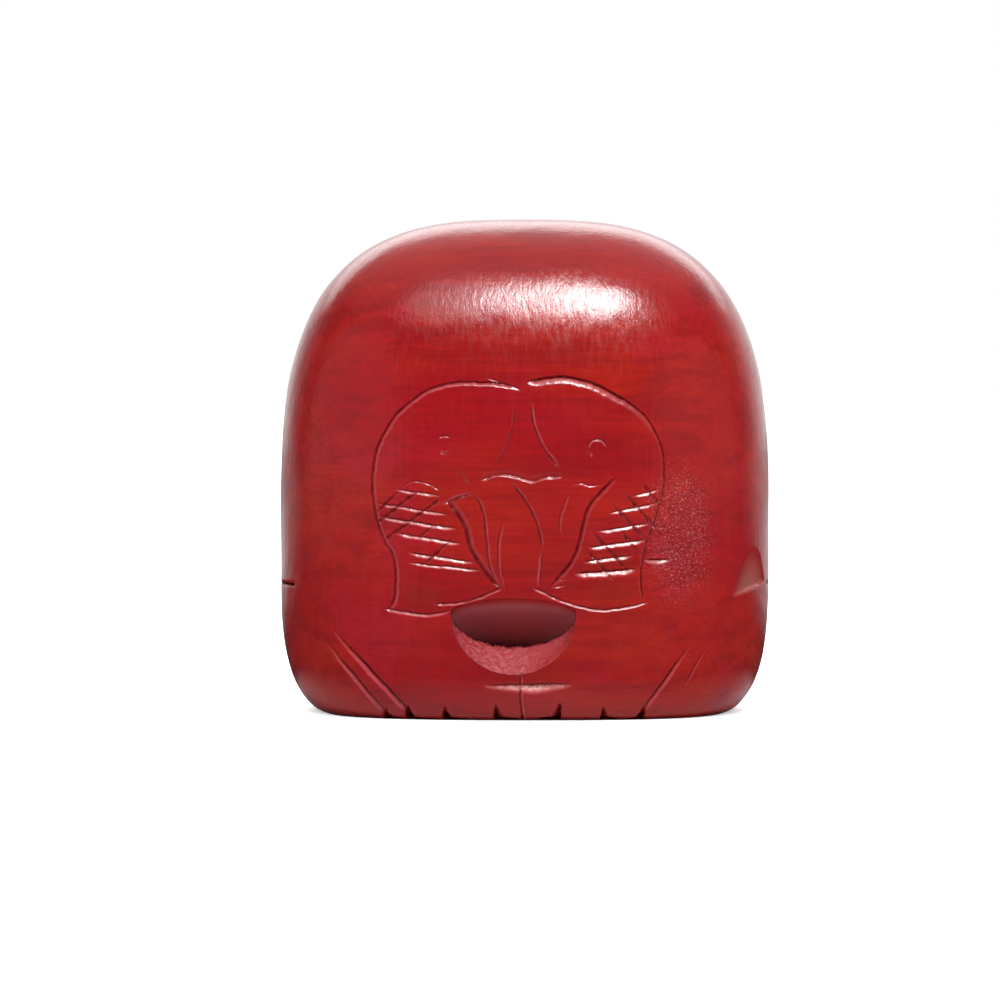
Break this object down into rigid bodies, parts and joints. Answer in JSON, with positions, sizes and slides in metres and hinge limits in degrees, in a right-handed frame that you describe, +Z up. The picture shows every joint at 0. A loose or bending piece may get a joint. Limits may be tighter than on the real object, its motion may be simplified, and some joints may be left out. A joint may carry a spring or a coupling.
{
  "type": "wooden fish",
  "caption": "Hollow wooden slit drum carved from one rounded block, with a carved pair of fish, a finger pocket and a mouth slit.",
  "frame": {"origin": "middle of the sawn base, on the surface that the block stands on", "axes": "+Z up, the carved face looks along -Y, the mouth slit opens at +Y, +X to the right of the carved face"},
  "size_m": [0.076, 0.056, 0.0766],
  "materials": {
    "lacquered_wood": "gloss red lacquer over visible grain"
  },
  "bodies": {
    "root": {"fish_body": "lacquered_wood"}
  },
  "joints": []
}
